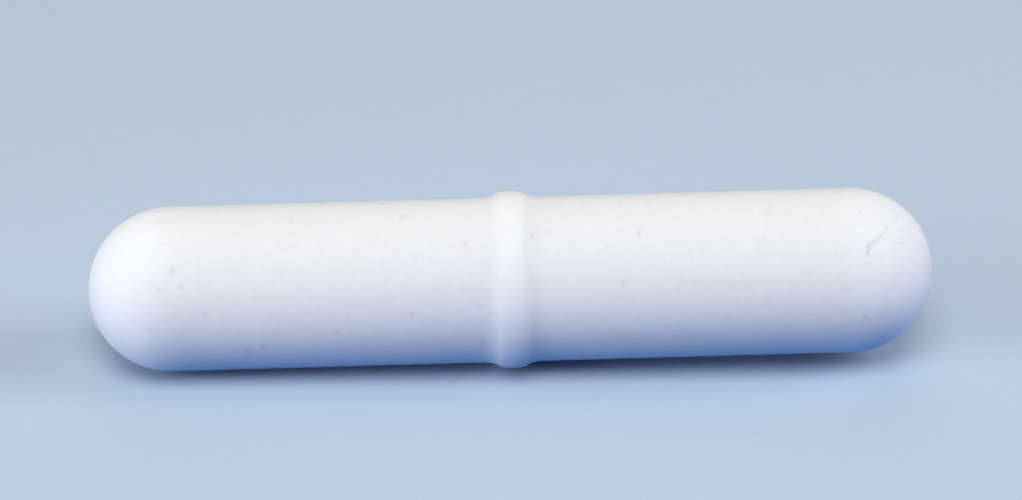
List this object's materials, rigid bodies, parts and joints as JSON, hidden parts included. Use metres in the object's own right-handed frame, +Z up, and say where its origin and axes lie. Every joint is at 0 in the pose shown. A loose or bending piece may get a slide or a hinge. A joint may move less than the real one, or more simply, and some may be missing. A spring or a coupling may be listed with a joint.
{
  "type": "magnetic stir bar",
  "caption": "Round-ended stir bar: a rod magnet sealed in a white moulded casing with a low pivot ring round its middle.",
  "frame": {"origin": "centre of the bar, on its axis and in the plane of the pivot ring", "axes": "+X along the bar's axis, +Z up with the bar lying level"},
  "size_m": [0.041, 0.0086, 0.0086],
  "materials": {
    "ptfe": "waxy satin, slightly translucent, with fine pits and a few dark specks",
    "magnet": "rough as cast along its side, with ground ends"
  },
  "bodies": {
    "root": {"ptfe_jacket": "ptfe", "magnet_core": "magnet"}
  },
  "joints": []
}
